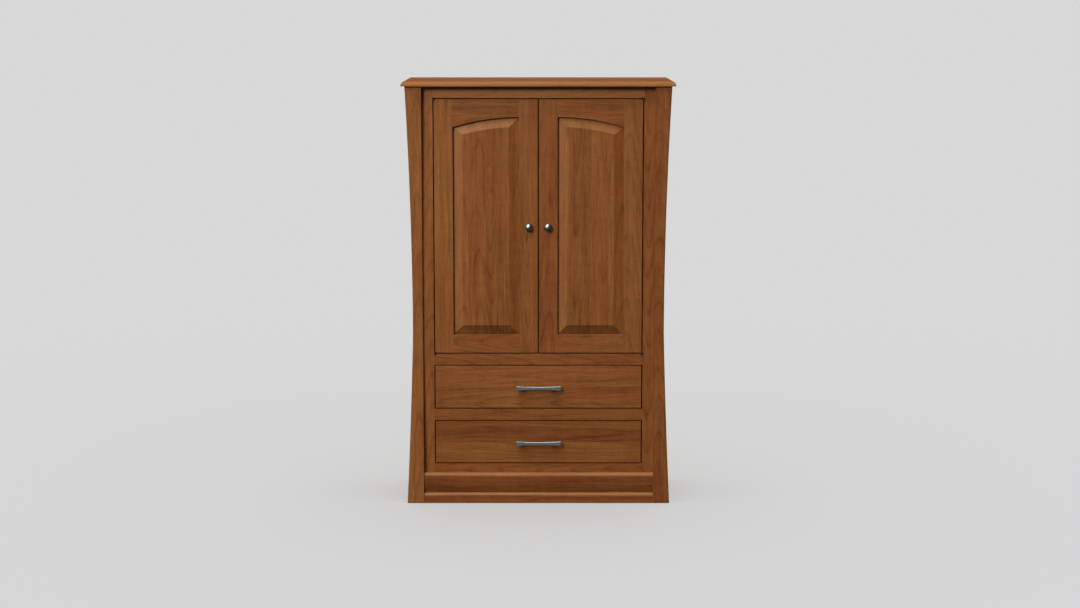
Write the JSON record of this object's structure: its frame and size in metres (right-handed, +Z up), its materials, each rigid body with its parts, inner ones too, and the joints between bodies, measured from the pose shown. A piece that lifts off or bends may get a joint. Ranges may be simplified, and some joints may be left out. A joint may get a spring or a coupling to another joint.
{
  "type": "tv armoire",
  "caption": "Wooden television armoire with bowed corner posts, inset raised-panel doors over inset drawers, and a moulded top and base.",
  "frame": {"origin": "on the floor, in the middle of the overall width and depth", "axes": "+Z up; the doors and drawers face -Y; +X to the right of someone facing the doors"},
  "size_m": [1.144, 0.483, 1.7952],
  "materials": {
    "cherry": "satin lacquer over medium brown cherry",
    "cherry_board": "satin lacquer over veneered board",
    "drawer_box": "clear satin lacquer over pale hardwood",
    "plywood": "clear satin lacquer over plywood",
    "polished_nickel": "polished dark nickel",
    "pewter": "brushed pewter",
    "bronze": "oil-rubbed bronze",
    "zinc_steel": "bright zinc plate",
    "black_zinc": "black zinc plate",
    "brown_plastic": "matte moulded",
    "black_plastic": "matte moulded"
  },
  "bodies": {
    "case": {"adjustable_shelf": "cherry_board", "back_panel": "plywood", "base_moulding": "cherry", "bottom_board": "cherry_board", "cable_grommets": "black_plastic", "compartment_deck": "cherry_board", "face_bottom_rail": "cherry", "face_drawer_rail": "cherry", "face_mid_rail": "cherry", "face_stile_left": "cherry", "face_stile_right": "cherry", "face_top_rail": "cherry", "frame_hinge_leaves": "bronze", "front_post_left": "cherry", "front_post_right": "cherry", "magnetic_catch": "brown_plastic", "rear_post_left": "cherry", "rear_post_right": "cherry", "shelf_pins": "zinc_steel", "side_bottom_rails": "cherry", "side_panel_left": "cherry", "side_panel_right": "cherry", "side_top_rails": "cherry", "slide_cabinet_members": "black_zinc", "slide_cleats": "drawer_box", "top_board": "cherry"},
    "left_door": {"door_bottom_rail_left": "cherry", "door_hinge_leaves_left": "bronze", "door_hinge_stile_left": "cherry", "door_knob_left": "polished_nickel", "door_meeting_stile_left": "cherry", "door_panel_left": "cherry", "door_strike_plate_left": "zinc_steel", "door_top_rail_left": "cherry"},
    "right_door": {"door_bottom_rail_right": "cherry", "door_hinge_leaves_right": "bronze", "door_hinge_stile_right": "cherry", "door_knob_right": "polished_nickel", "door_meeting_stile_right": "cherry", "door_panel_right": "cherry", "door_strike_plate_right": "zinc_steel", "door_top_rail_right": "cherry"},
    "upper_drawer": {"upper_drawer_back": "drawer_box", "upper_drawer_bottom": "plywood", "upper_drawer_front": "cherry", "upper_drawer_side_left": "drawer_box", "upper_drawer_side_right": "drawer_box", "upper_pull": "pewter", "upper_pull_screws": "zinc_steel", "upper_slide_drawer_members": "black_zinc"},
    "lower_drawer": {"lower_drawer_back": "drawer_box", "lower_drawer_bottom": "plywood", "lower_drawer_front": "cherry", "lower_drawer_side_left": "drawer_box", "lower_drawer_side_right": "drawer_box", "lower_pull": "pewter", "lower_pull_screws": "zinc_steel", "lower_slide_drawer_members": "black_zinc"},
    "upper_slide_middles": {"upper_slide_middle_members": "black_zinc"},
    "lower_slide_middles": {"lower_slide_middle_members": "black_zinc"}
  },
  "joints": [
    {"name": "left_door_hinge", "type": "hinge", "parent": "case", "child": "left_door", "pos_m": [-0.4395, -0.206, 1.18395], "axis": [0, 0, -1], "range_deg": [0, 150]},
    {"name": "right_door_hinge", "type": "hinge", "parent": "case", "child": "right_door", "pos_m": [0.4395, -0.206, 1.18395], "axis": [0, 0, 1], "range_deg": [0, 150]},
    {"name": "upper_drawer_slide", "type": "slide", "parent": "case", "child": "upper_drawer", "axis": [0, -1, 0], "range_m": [0, 0.36]},
    {"name": "lower_drawer_slide", "type": "slide", "parent": "case", "child": "lower_drawer", "axis": [0, -1, 0], "range_m": [0, 0.36]},
    {"name": "upper_middle_slide", "type": "slide", "parent": "case", "child": "upper_slide_middles", "axis": [0, -1, 0], "range_m": [0, 0.18]},
    {"name": "lower_middle_slide", "type": "slide", "parent": "case", "child": "lower_slide_middles", "axis": [0, -1, 0], "range_m": [0, 0.18]}
  ],
  "couplings": [
    {"joint": "upper_middle_slide", "follows": "upper_drawer_slide", "ratio": 0.5},
    {"joint": "lower_middle_slide", "follows": "lower_drawer_slide", "ratio": 0.5}
  ]
}
